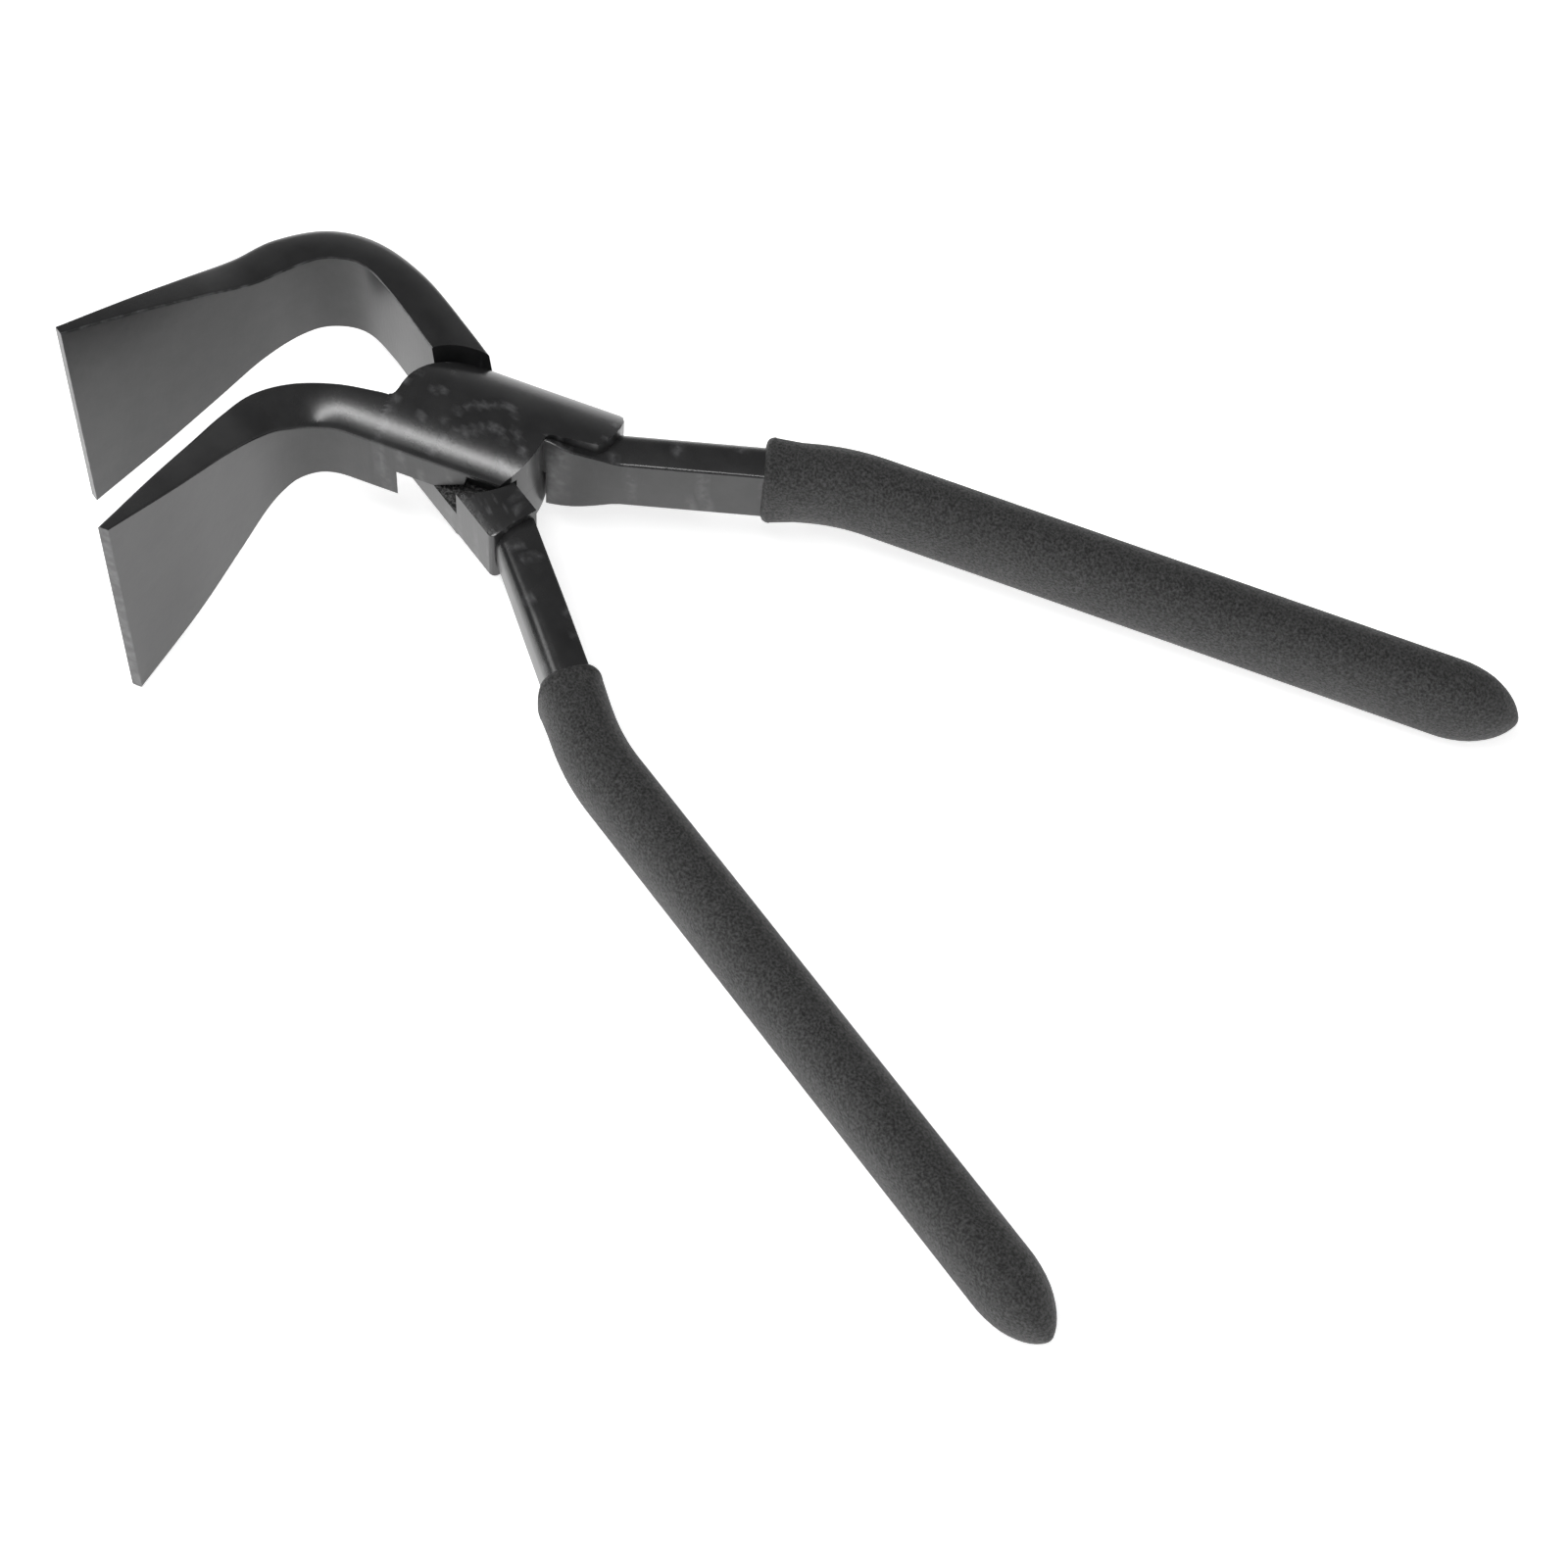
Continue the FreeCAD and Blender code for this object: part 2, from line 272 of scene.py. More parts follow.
def oval_bar():
    """The forged oval bar right through the joint, with its front edges rolled over."""
    front_top = Vector((FRONT_SIDE_Y, oval_top(FRONT_SIDE_Y)))
    roll_end = Vector((FRONT_SIDE_Y + EDGE_ROLL_Y, oval_top(FRONT_SIDE_Y + EDGE_ROLL_Y)))
    side_top = Vector((FRONT_SIDE_Y, front_top.y - EDGE_ROLL_Z))
    oval_end = OVAL_MIDDLE_Y + OVAL_HALF_WIDTH
    half = [side_top] + rolled(side_top, front_top, roll_end, 4)
    for step in range(OVAL_STEPS):
        y = roll_end.x + (oval_end - roll_end.x) * math.sin(math.pi / 2 * step / OVAL_STEPS)
        half.append(Vector((y, oval_top(y))))
    lower = [Vector((p.x, -p.y)) for p in reversed(half)]
    return bar_along(half + [Vector((oval_end, 0))] + lower, NECK_END_X, LUG_END_X + 2)


# Plan of the boss, as (x, y): the hollow curve into the lug, the lug's rounded end, and the curve into the
# neck. Between them the outline is the joint's circle.
LUG_ROOT = [(16.05, 1.0), (16.5, 1.55), (17.2, 1.9), (18.4, 2.05)]
LUG_END = [(26.4, 3.3), (27.5, 5), (28.3, 7.5), (LUG_END_X, 10)]
LUG_END += [(28.3, 12.8), (27.3, 14.8), (26.2, LUG_BACK_Y)]
NECK_ROOT = [(-15.8, 0.4), (-16.05, -0.75), (-16.45, -1.35), (NECK_END_X, -1.62), (NECK_END_X - 1, -1.65)]
# Side views, as (x, z): the undercut that clears the other arm's block, and the slope under the lug.
UNDERCUT = [(-3.5, -1), (-3.5, 0), (3.3, 4.4), (4.0, 7.4), (14, 7.6), (14, -1)]
UNDERCUT_BACK_Y = -8.2
LUG_SLOPE = [(18, -12.3), (18, -BEYOND), (32, -BEYOND), (32, -7.8)]


def boss():
    """Oval boss of the upper arm with its neck stub and its lug, cut out of the bar."""
    outline = [(NECK_END_X - 1, -BEYOND), (0, -BEYOND)]
    outline += arc(DISC_R, -62, 1, 40) + LUG_ROOT + LUG_END + [(0.01, LUG_BACK_Y)]
    outline += arc(DISC_R, 91, 174, 44) + NECK_ROOT
    plan = extruded([Vector((x, y, -BEYOND)) for x, y in outline], Vector((0, 0, 2 * BEYOND)))
    whole = fitted(oval_bar(), plan, "INTERSECT")
    whole = fitted(whole, drum(SHOULDER_R, -BEYOND, LAP_GAP), "DIFFERENCE")
    undercut = extruded(
        [Vector((x, -BEYOND, z)) for x, z in UNDERCUT],
        Vector((0, BEYOND + UNDERCUT_BACK_Y, 0)),
    )
    whole = fitted(whole, undercut, "DIFFERENCE")
    slope = extruded([Vector((x, 0, z)) for x, z in LUG_SLOPE], Vector((0, BEYOND, 0)))
    whole = fitted(whole, slope, "DIFFERENCE")
    return bevelled(whole, SMALL_BEVEL, lambda place: place.x < NECK_END_X + 0.1)


SHANK_START = Vector((20.0, 4.4))
HANDLE_BEND = Vector((73.8, 20.9))
BEND_RADIUS = 46.0
GRIP_END_X = 217.4
SHANK_HALF_THICKNESS = 4.4
SHANK_HALF_HEIGHT = 8.3
SHANK_SIDE_HALF_HEIGHT = 7.3
# Centre and heading at the root, where the shank turns away from the line of the joint.
SHANK_ROOT = (((14, 4.7), 0), ((17, 4.7), 0), ((19.5, 4.72), 2), ((21.5, 4.95), 7), ((23.2, 5.38), 13))
SHANK_FREE_X = 25.0
SHANK_RISE_RUN = 13.0
CORE_END_X = 200
# How much the flat side stands up at the root of the upper arm's shank.
UPPER_ROOT_RISE = 4.4
SHANK_GROWTH = 28.0


def handle_line(from_run, end_x, steps):
    """Places along the handle, as (centre, heading angle): the shank, the bend and the straight."""
    angle = math.atan2(HANDLE_BEND.y - SHANK_START.y, HANDLE_BEND.x - SHANK_START.x)
    heading = Vector((math.cos(angle), math.sin(angle)))
    run = BEND_RADIUS * math.tan(angle / 2)
    first = HANDLE_BEND - heading * run
    second = HANDLE_BEND + Vector((run, 0))
    centre = second - Vector((0, BEND_RADIUS))
    start = SHANK_START + heading * from_run
    line = [(start + (first - start) * step / (2 * steps), angle) for step in range(2 * steps)]
    for step in range(steps):
        turn = angle * (1 - step / steps)
        line.append((centre + Vector((-math.sin(turn), math.cos(turn))) * BEND_RADIUS, turn))
    line.append((second, 0.0))
    line.append((Vector((end_x, second.y)), 0.0))
    return line


def across_handle(place, points):
    """Ring of (across, up) points put square across the handle at a place of its line."""
    centre, turn = place
    across = Vector((-math.sin(turn), math.cos(turn)))
    return [Vector((centre.x + across.x * p.x, centre.y + across.y * p.x, p.y)) for p in points]


def shank_points(rise, scale):
    """D-shaped outline: flat towards the other handle, domed on top, round on the outside.

    rise lifts the flat side's edges, and scale makes the whole outline lower."""
    inner = -SHANK_HALF_THICKNESS
    outer = SHANK_HALF_THICKNESS
    edge = Vector((inner, SHANK_SIDE_HALF_HEIGHT - 0.5 + rise))
    top_start = Vector((inner + 0.6, SHANK_SIDE_HALF_HEIGHT + 0.15 + 0.93 * rise))
    crown = Vector((0.3, SHANK_HALF_HEIGHT + 0.25))
    top_end = Vector((1.6, SHANK_HALF_HEIGHT - 0.35))
    half = [Vector((inner, 0)), edge]
    half += rolled(edge, Vector((inner, SHANK_SIDE_HALF_HEIGHT + rise)), top_start, 3)
    half.append(top_start)
    half += rolled(top_start, crown, top_end, 5)
    half.append(top_end)
    side = Vector((outer, 3.2))
    half += rolled(top_end, Vector((outer - 0.25, SHANK_HALF_HEIGHT - 1.2)), side, 7)
    half += [side, Vector((outer + 0.05, 0))]
    half = [Vector((p.x, p.y * scale)) for p in half]
    return half + [Vector((p.x, -p.y)) for p in reversed(half[1:-1])]


def shank(root_rise, root_scale):
    """Core of a handle, from inside the joint to well inside the grip.

    At its root the flat side stands root_rise higher, and the whole section is root_scale as tall."""
    places = [(Vector(centre), math.radians(heading)) for centre, heading in SHANK_ROOT]
    from_run = (SHANK_FREE_X - SHANK_START.x) / math.cos(places[-1][1])
    places += handle_line(from_run, CORE_END_X, 12)
    rings = []
    for place in places:
        from_root = max(0.0, place[0].x - SHOULDER_R)
        rise = root_rise * max(0.0, 1 - from_root / SHANK_RISE_RUN)
        scale = root_scale + (1 - root_scale) * min(1.0, from_root / SHANK_GROWTH)
        rings.append(across_handle(place, shank_points(rise, scale)))
    return skinned(rings)


# Stations of the jaw from its tip to inside the joint: flat side x y, round side x y, flat half height,
# round half height, crown, roll, oval share.
UPPER_JAW = [
    (-49.5, -62.2, -47.4, -62.2, 30.0, 30.0, 0.0, 0.3, 0),
    (-47.61, -45.0, -42.1, -45.0, 23.9, 23.7, 0.1, 0.6, 0),
    (-46.09, -31.0, -38.6, -31.0, 18.2, 17.9, 0.3, 0.8, 0),
    (-44.95, -20.5, -36.0, -21.8, 13.9, 13.2, 0.6, 1.0, 0),
    (-41.9, -12.2, -33.2, -16.6, 12.2, 10.2, 0.9, 1.1, 0),
    (-36.0, -6.8, -29.2, -13.2, 12.0, 8.9, 0.9, 1.1, 0.2),
    (-28.0, -3.4, -24.8, -11.6, 12.0, 8.5, 0.8, 1.1, 0.7),
    (-20.0, -1.9, -20.0, -11.41, 11.9, 8.45, 0.7, 1.1, 1),
    (NECK_END_X, -1.62, NECK_END_X, -11.41, 11.9, 8.45, 0.7, 1.1, 1),
    (NECK_END_X + 2, -1.9, NECK_END_X + 2, -11.0, 11.4, 8.0, 0.6, 1.1, 0),
    (-10.0, -1.9, -10.0, -10.6, 11.0, 7.6, 0.5, 1.1, 0),
]


def finished(name, whole, swing, body, node, material_of):
    """Piece from a solid, swung to rest and scaled to metres; material_of gives each face's material."""
    bmesh.ops.rotate(whole, cent=(0, 0, 0), matrix=Matrix.Rotation(swing, 3, "Z"), verts=whole.verts)
    for face in whole.faces:
        face.smooth = True
        face.material_index = material_of(face)
    bmesh.ops.scale(whole, vec=(0.001, 0.001, 0.001), verts=whole.verts)
    whole.normal_update()
    for edge in whole.edges:
        edge.smooth = edge.calc_face_angle(0) < math.radians(32)
    mesh = bpy.data.meshes.new(name)
    whole.to_mesh(mesh)
    whole.free()
    piece = bpy.data.objects.new(name, mesh)
    bpy.context.scene.collection.objects.link(piece)
    even = piece.modifiers.new("even_shading", "WEIGHTED_NORMAL")
    even.keep_sharp = True
    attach(piece, body)
    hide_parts(node)
    return piece


def lap_face(height, facing):
    """Tells the sawn lap face from the rest: it is level, at the lap plane, and faces the other arm."""

    def is_lap(face):
        level = face.normal.z * facing > 0.95
        return int(level and abs(face.calc_center_median().z - height) < 0.02)

    return is_lap


# Colours of the lacquer where it lies thick and thin, and of the metal where it has rubbed off along the
# edges, which also paints a highlight there.
LACQUER_DARK = (0.012, 0.012, 0.0125, 1)
LACQUER_PALE = (0.022, 0.022, 0.0225, 1)
WORN_EDGE_AND_PAINTED_HIGHLIGHT = (0.16, 0.16, 0.165, 1)
SAWN_DARK = (0.008, 0.008, 0.008, 1)
SAWN_PALE = (0.22, 0.22, 0.22, 1)


def new_group(name, inputs, outputs):
    """Empty shader node group, as (group, its input node, its output node)."""
    group = bpy.data.node_groups.new(name, "ShaderNodeTree")
    for socket, kind in inputs:
        group.interface.new_socket(socket, in_out="INPUT", socket_type=kind)
    for socket, kind in outputs:
        group.interface.new_socket(socket, in_out="OUTPUT", socket_type=kind)
    return group, group.nodes.new("NodeGroupInput"), group.nodes.new("NodeGroupOutput")


def noise_in(tree, place, scale, detail=4.0, roughness=0.55):
    """Noise texture that reads place; scale is in ripples a metre."""
    noise = tree.nodes.new("ShaderNodeTexNoise")
    noise.inputs["Scale"].default_value = scale
    noise.inputs["Detail"].default_value = detail
    noise.inputs["Roughness"].default_value = roughness
    tree.links.new(place, noise.inputs["Vector"])
    return noise


def spread(tree, value, low_in, high_in, low_out, high_out):
    """Map Range node from one span of numbers to another, clamped."""
    node = tree.nodes.new("ShaderNodeMapRange")
    node.inputs["From Min"].default_value = low_in
    node.inputs["From Max"].default_value = high_in
    node.inputs["To Min"].default_value = low_out
    node.inputs["To Max"].default_value = high_out
    tree.links.new(value, node.inputs["Value"])
    return node.outputs["Result"]


def maths(tree, operation, first, second):
    """Math node on two sockets, or on a socket and a number."""
    node = tree.nodes.new("ShaderNodeMath")
    node.operation = operation
    for socket, value in zip(node.inputs, (first, second)):
        if isinstance(value, (int, float)):
            socket.default_value = value
        else:
            tree.links.new(value, socket)
    return node.outputs["Value"]


def worn_and_highlit_edges_group():
    """Mask of the sharp edges, broken up by noise, where a finish has rubbed through and a highlight is
    painted.
    """
    group, given, made = new_group(
        "worn_and_highlit_edges",
        [("Place", "NodeSocketVector"), ("Amount", "NodeSocketFloat")],
        [("Mask", "NodeSocketFloat")],
    )
    edge = group.nodes.new("ShaderNodeAttribute")
    edge.attribute_name = "edge"
    patches = noise_in(group, given.outputs["Place"], 420, 5).outputs["Fac"]
    broken = spread(group, patches, 0.42, 0.66, 0.15, 1.0)
    rubbed_and_highlit = maths(group, "MULTIPLY", edge.outputs["Fac"], broken)
    mask = maths(group, "MULTIPLY", rubbed_and_highlit, given.outputs["Amount"])
    group.links.new(mask, made.inputs["Mask"])
    return group


def forged_skin_group():
    """Height of a lacquered forging: long soft waves, orange peel, and hair-fine brushing across it."""
    group, given, made = new_group(
        "forged_skin",
        [("Place", "NodeSocketVector"), ("Peel", "NodeSocketFloat"), ("Brushing", "NodeSocketFloat")],
        [("Height", "NodeSocketFloat"), ("Patches", "NodeSocketFloat")],
    )
    place = given.outputs["Place"]
    waves = noise_in(group, place, 55, 2).outputs["Fac"]
    peel = noise_in(group, place, 900, 3).outputs["Fac"]
    stretch = group.nodes.new("ShaderNodeMapping")
    stretch.inputs["Scale"].default_value = (3200, 260, 260)
    group.links.new(place, stretch.inputs["Vector"])
    hairs = noise_in(group, stretch.outputs["Vector"], 1, 3).outputs["Fac"]
    rough_peel = maths(group, "MULTIPLY", peel, given.outputs["Peel"])
    brushing = maths(group, "MULTIPLY", hairs, given.outputs["Brushing"])
    gentle = maths(group, "MULTIPLY", waves, 0.2)
    height = maths(group, "ADD", maths(group, "ADD", gentle, rough_peel), brushing)
    group.links.new(height, made.inputs["Height"])
    patches = noise_in(group, place, 130, 6).outputs["Fac"]
    group.links.new(patches, made.inputs["Patches"])
    return group


def placed_group(tree, group, place):
    """The group in a material, reading its place."""
    node = tree.nodes.new("ShaderNodeGroup")
    node.node_tree = group
    tree.links.new(place, node.inputs["Place"])
    return node


def mixed(tree, factor, first, second):
    """Colour mix of two colours, or of a colour socket and a colour."""
    node = tree.nodes.new("ShaderNodeMix")
    node.data_type = "RGBA"
    tree.links.new(factor, node.inputs["Factor"])
    for socket, value in ((node.inputs[6], first), (node.inputs[7], second)):
        if isinstance(value, tuple):
            socket.default_value = value
        else:
            tree.links.new(value, socket)
    return node.outputs[2]


def bumped(tree, height, distance, shader):
    """Bump from a height, into the shader's normal."""
    bump = tree.nodes.new("ShaderNodeBump")
    bump.inputs["Distance"].default_value = distance
    tree.links.new(height, bump.inputs["Height"])
    tree.links.new(bump.outputs["Normal"], shader.inputs["Normal"])


def new_material(name):
    """Node material, as (material, its tree, its Principled shader, the Object coordinates)."""
    material = bpy.data.materials.new(name)
    material.use_nodes = True
    tree = material.node_tree
    place = tree.nodes.new("ShaderNodeTexCoord").outputs["Object"]
    return material, tree, tree.nodes["Principled BSDF"], place


worn_and_highlit_edges = worn_and_highlit_edges_group()
forged_skin = forged_skin_group()


def lacquered_steel():
    """Black lacquer on a forging: glossy on top, satin on the dressed upright sides."""
    material, tree, shader, place = new_material("blackened_steel")
    skin = placed_group(tree, forged_skin, place)
    skin.inputs["Peel"].default_value = 0.05
    skin.inputs["Brushing"].default_value = 0.13
    wear_and_highlight = placed_group(tree, worn_and_highlit_edges, place)
    wear_and_highlight.inputs["Amount"].default_value = 0.5
    upright = tree.nodes.new("ShaderNodeSeparateXYZ")
    tree.links.new(tree.nodes.new("ShaderNodeNewGeometry").outputs["Normal"], upright.inputs[0])
    level = maths(tree, "ABSOLUTE", upright.outputs["Z"], 0)
    thin = spread(tree, skin.outputs["Patches"], 0.35, 0.65, 0, 1)
    base = mixed(tree, thin, LACQUER_DARK, LACQUER_PALE)
    # The pale edge colour is partly worn metal and partly a painted highlight.
    tree.links.new(mixed(tree, wear_and_highlight.outputs["Mask"], base, WORN_EDGE_AND_PAINTED_HIGHLIGHT), shader.inputs["Base Color"])
    gloss = spread(tree, level, 0.1, 0.45, 0.3, 0.25)
    uneven = spread(tree, skin.outputs["Patches"], 0.3, 0.7, -0.01, 0.012)
    tree.links.new(maths(tree, "ADD", gloss, uneven), shader.inputs["Roughness"])
    shader.inputs["Specular IOR Level"].default_value = 0.62
    bumped(tree, skin.outputs["Height"], 0.00018, shader)
    return material


def sawn_steel():
    """The lap faces of the joint, left as rough as they were cut."""
    material, tree, shader, place = new_material("sawn_lap_face")
    crumbs = noise_in(tree, place, 1500, 6, 0.7).outputs["Fac"]
    bare = spread(tree, crumbs, 0.45, 0.7, 0, 1)
    tree.links.new(mixed(tree, bare, SAWN_DARK, SAWN_PALE), shader.inputs["Base Color"])
    shader.inputs["Roughness"].default_value = 0.5
    bumped(tree, crumbs, 0.0006, shader)
    return material


steel = lacquered_steel()
lap_steel = sawn_steel()

BORE_R = 5.0
BORE_ROOF_Z = 10.4

upper_neck = fitted(jaw_solid(UPPER_JAW), drum(SHOULDER_R, -2 * BEYOND, LAP_GAP), "DIFFERENCE")
upper_steel = fitted(upper_neck, boss(), "UNION")
upper_shank = fitted(shank(UPPER_ROOT_RISE, 1.0), drum(SHOULDER_R, -2 * BEYOND, LAP_GAP), "DIFFERENCE")
upper_steel = fitted(upper_steel, upper_shank, "UNION")
upper_steel = fitted(upper_steel, drum(BORE_R, -1, BORE_ROOF_Z, 64), "DIFFERENCE")
upper_arm = finished(
    "upper_arm_forging",
    upper_steel,
    REST_SWING,
    "upper_half",
    "upper_arm",
    lap_face(LAP_GAP, -1),
)
upper_arm.data.materials.append(steel)
upper_arm.data.materials.append(lap_steel)

# ---- Lower arm ----
# The other steel forging, dressed and lacquered like the first: the back jaw, the lower half of the lap
# joint, a block that stands up beside the boss, and the other shank.
BLOCK_START_X = 8.0
BLOCK_END_X = 24.3
BLOCK_INNER_Y = -0.5
BLOCK_TOP_Z = 8.4
BLOCK_SIDE_TOP_Z = 7.3
BLOCK_DOME_Y = -4.5
BLOCK_CORNER_R = 1.2
JAW_BACK_Y = 12.9
BORE_CLEARANCE = 0.05
# The lower arm's shank is this much of its full height where it leaves the block.
LOWER_ROOT_SCALE = 0.77
# The neck's end leans away from the boss: this is its radius at a height just above the neck.
NECK_SHOULDER_R = 18.6
NECK_SHOULDER_Z = 14

LOWER_JAW = [
    (-49.82, -62.2, -51.9, -62.2, 30.0, 30.0, 0.0, 0.3, 0),
    (-50.06, -45.0, -54.5, -45.0, 23.9, 23.6, 0.1, 0.6, 0),
    (-50.26, -31.0, -57.0, -31.0, 18.2, 17.4, 0.2, 0.9, 0),
    (-50.42, -19.5, -59.4, -19.0, 13.4, 11.8, 0.5, 1.4, 0),
    (-50.4, -10.0, -60.2, -8.6, 12.0, 10.2, 0.6, 1.8, 0),
    (-48.8, -3.2, -56.6, 2.4, 12.0, 9.4, 0.6, 2.0, 0),
    (-43.6, 2.0, -48.6, 9.7, 12.0, 8.8, 0.6, 2.0, 0),
    (-35.0, 3.2, -36.0, JAW_BACK_Y, 11.9, 8.6, 0.6, 1.3, 0),
    (-20.0, 2.7, -20.0, JAW_BACK_Y, 11.9, 8.6, 0.6, 0.7, 0),
    (-4.0, 2.7, -4.0, JAW_BACK_Y - 0.4, 11.2, 7.8, 0.4, 0.7, 0),
]


def block():
    """The block that stands up beside the boss: domed above and below, with its free corner rounded."""
    half = [Vector((FRONT_SIDE_Y, BLOCK_SIDE_TOP_Z))]
    dome_end = Vector((BLOCK_DOME_Y, BLOCK_TOP_Z))
    half += rolled(half[0], Vector((FRONT_SIDE_Y + 3, BLOCK_TOP_Z + 0.05)), dome_end, 16)
    half += [dome_end, Vector((BLOCK_INNER_Y, BLOCK_TOP_Z - 0.2))]
    lower = [Vector((p.x, -p.y)) for p in reversed(half)]
    bar = bar_along(half + lower, BLOCK_START_X, BLOCK_END_X + 1)
    turn_x = BLOCK_END_X - BLOCK_CORNER_R
    turn_y = FRONT_SIDE_Y + BLOCK_CORNER_R
    outline = [(BLOCK_START_X - 1, FRONT_SIDE_Y - 2), (turn_x - 0.5, FRONT_SIDE_Y - 2)]
    outline += [(turn_x + x, turn_y + y) for x, y in arc(BLOCK_CORNER_R, -90, 0, 8)]
    outline += [(BLOCK_END_X, 2), (BLOCK_START_X - 1, 2)]
    plan = extruded([Vector((x, y, -BEYOND)) for x, y in outline], Vector((0, 0, 2 * BEYOND)))
    return fitted(bar, plan, "INTERSECT")


def lower_lap():
    """Lower half of the joint: the disc under the boss, and the block beside it."""
    outline = [(-4, -BEYOND), (6, -BEYOND)] + arc(DISC_R, -50, 226, 120)
    plan = extruded([Vector((x, y, -BEYOND)) for x, y in outline], Vector((0, 0, 2 * BEYOND)))
    disc = fitted(oval_bar(), plan, "INTERSECT")
    disc = fitted(disc, drum(2 * BEYOND, 0, BEYOND), "DIFFERENCE")
    raised = fitted(block(), drum(SHOULDER_R, 0, BEYOND), "DIFFERENCE")
    return bevelled(fitted(disc, raised, "UNION"), SMALL_BEVEL, lambda place: False)


def mirrored(solid):
    """The solid turned over the middle of the opening."""
    bmesh.ops.scale(solid, vec=(1, -1, 1), verts=solid.verts)
    bmesh.ops.recalc_face_normals(solid, faces=solid.faces)
    return solid


leaning_shoulder = drum(SHOULDER_R, 0, NECK_SHOULDER_Z, top_radius=NECK_SHOULDER_R)
lower_neck = fitted(jaw_solid(LOWER_JAW), leaning_shoulder, "DIFFERENCE")
lower_steel = fitted(lower_neck, lower_lap(), "UNION")
lower_shank = fitted(mirrored(shank(0, LOWER_ROOT_SCALE)), drum(SHOULDER_R, 0, BEYOND), "DIFFERENCE")
lower_steel = fitted(lower_steel, lower_shank, "UNION")
lower_steel = fitted(lower_steel, drum(BORE_R + BORE_CLEARANCE, -BEYOND, 1, 64), "DIFFERENCE")
lower_arm = finished(
    "lower_arm_forging",
    lower_steel,
    -REST_SWING,
    "lower_half",
    "lower_arm",
    lap_face(0, 1),
)
lower_arm.data.materials.append(steel)
lower_arm.data.materials.append(lap_steel)

# ---- Pivot rivet ----
# A plain steel rivet through both laps. Its upper end stops under the smooth skin of the boss, and its lower
# end is hammered over into a low dome.
RIVET_LOW_Z = -12.2
RIVET_DOME = 0.7
RIVET_R = BORE_R - 0.02
RIVET_TOP_Z = BORE_ROOF_Z - 0.2
RIVET_PALE = (0.06, 0.06, 0.06, 1)


def rivet():
    """Shank of the rivet with a low domed lower end, spun about the pivot."""
    solid = bmesh.new()
    profile = [(0, RIVET_LOW_Z)]
    for step in range(1, 6):
        turn = math.pi / 2 * step / 6
        profile.append((BORE_R * math.sin(turn), RIVET_LOW_Z + RIVET_DOME * (1 - math.cos(turn))))
    profile += [(RIVET_R, RIVET_LOW_Z + RIVET_DOME), (RIVET_R, RIVET_TOP_Z), (0, RIVET_TOP_Z)]
    verts = [solid.verts.new((x, 0, z)) for x, z in profile]
    edges = [solid.edges.new(pair) for pair in zip(verts, verts[1:])]
    bmesh.ops.spin(
        solid,
        geom=verts + edges,
        cent=(0, 0, 0),
        axis=(0, 0, 1),
        angle=2 * math.pi,
        steps=64,
        use_merge=True,
    )
    bmesh.ops.remove_doubles(solid, verts=solid.verts, dist=0.001)
    bmesh.ops.recalc_face_normals(solid, faces=solid.faces)
    return solid


def rivet_finish():
    """The same lacquer, hammered and a little barer."""
    material, tree, shader, place = new_material("rivet_steel")
    skin = placed_group(tree, forged_skin, place)
    skin.inputs["Peel"].default_value = 0.5
    skin.inputs["Brushing"].default_value = 0.0
    bare = spread(tree, skin.outputs["Patches"], 0.4, 0.62, 0, 1)
    tree.links.new(mixed(tree, bare, LACQUER_DARK, RIVET_PALE), shader.inputs["Base Color"])
    tree.links.new(spread(tree, skin.outputs["Patches"], 0.3, 0.7, 0.3, 0.45), shader.inputs["Roughness"])
    bumped(tree, skin.outputs["Height"], 0.0003, shader)
    return material


rivet_piece = finished(
    "pivot_rivet_body", rivet(), 0, "upper_half", "pivot_rivet", lambda face: 0
)
rivet_piece.data.materials.append(rivet_finish())

# ---- Grips ----
# Each handle is dipped in black vinyl, which sets with a fine matt grain, a rounded mouth on the shank
# side and a drawn-out point where the last of it ran off.
GRIP_START = 39.5
GRIP_HALF_WIDTH = 6.65
GRIP_HALF_HEIGHT = 10.0
GRIP_NOSE = 15.0
GRIP_POINTS = 48
# The section is squarest at the mouth and nearly oval along the grip.
MOUTH_FULLNESS = 0.66
GRIP_FULLNESS = 0.88
VINYL_DARK = (0.008, 0.008, 0.008, 1)
VINYL_PAINTED_GLINT = (0.075, 0.075, 0.075, 1)
STRAIGHT_STEPS = 40
# The mouth, as distance from the front and inset; the nose, as part of its length and the section's scale.
GRIP_MOUTH = ((0.0, 4.6), (0.0, 1.9), (0.15, 1.1), (0.5, 0.5), (1.1, 0.15), (2.0, 0.0))
GRIP_NOSE_PROFILE = (
    (0.0, 1.0),
    (0.12, 0.995),
    (0.25, 0.968),
    (0.38, 0.92),
    (0.5, 0.855),
    (0.6, 0.775),
    (0.7, 0.675),
    (0.78, 0.575),
    (0.85, 0.465),
    (0.91, 0.345),
    (0.96, 0.215),
    (0.99, 0.11),
    (1.0, 0.03),
)


def grip_points(half_width, half_height, fullness):
    """Rounded outline across the handle; a lower fullness makes squarer corners."""
    points = []
    for step in range(GRIP_POINTS):
        turn = 2 * math.pi * step / GRIP_POINTS
        across = math.copysign(abs(math.cos(turn)) ** fullness, math.cos(turn))
        up = math.copysign(abs(math.sin(turn)) ** fullness, math.sin(turn))
        points.append(Vector((across * half_width, up * half_height)))
    return points


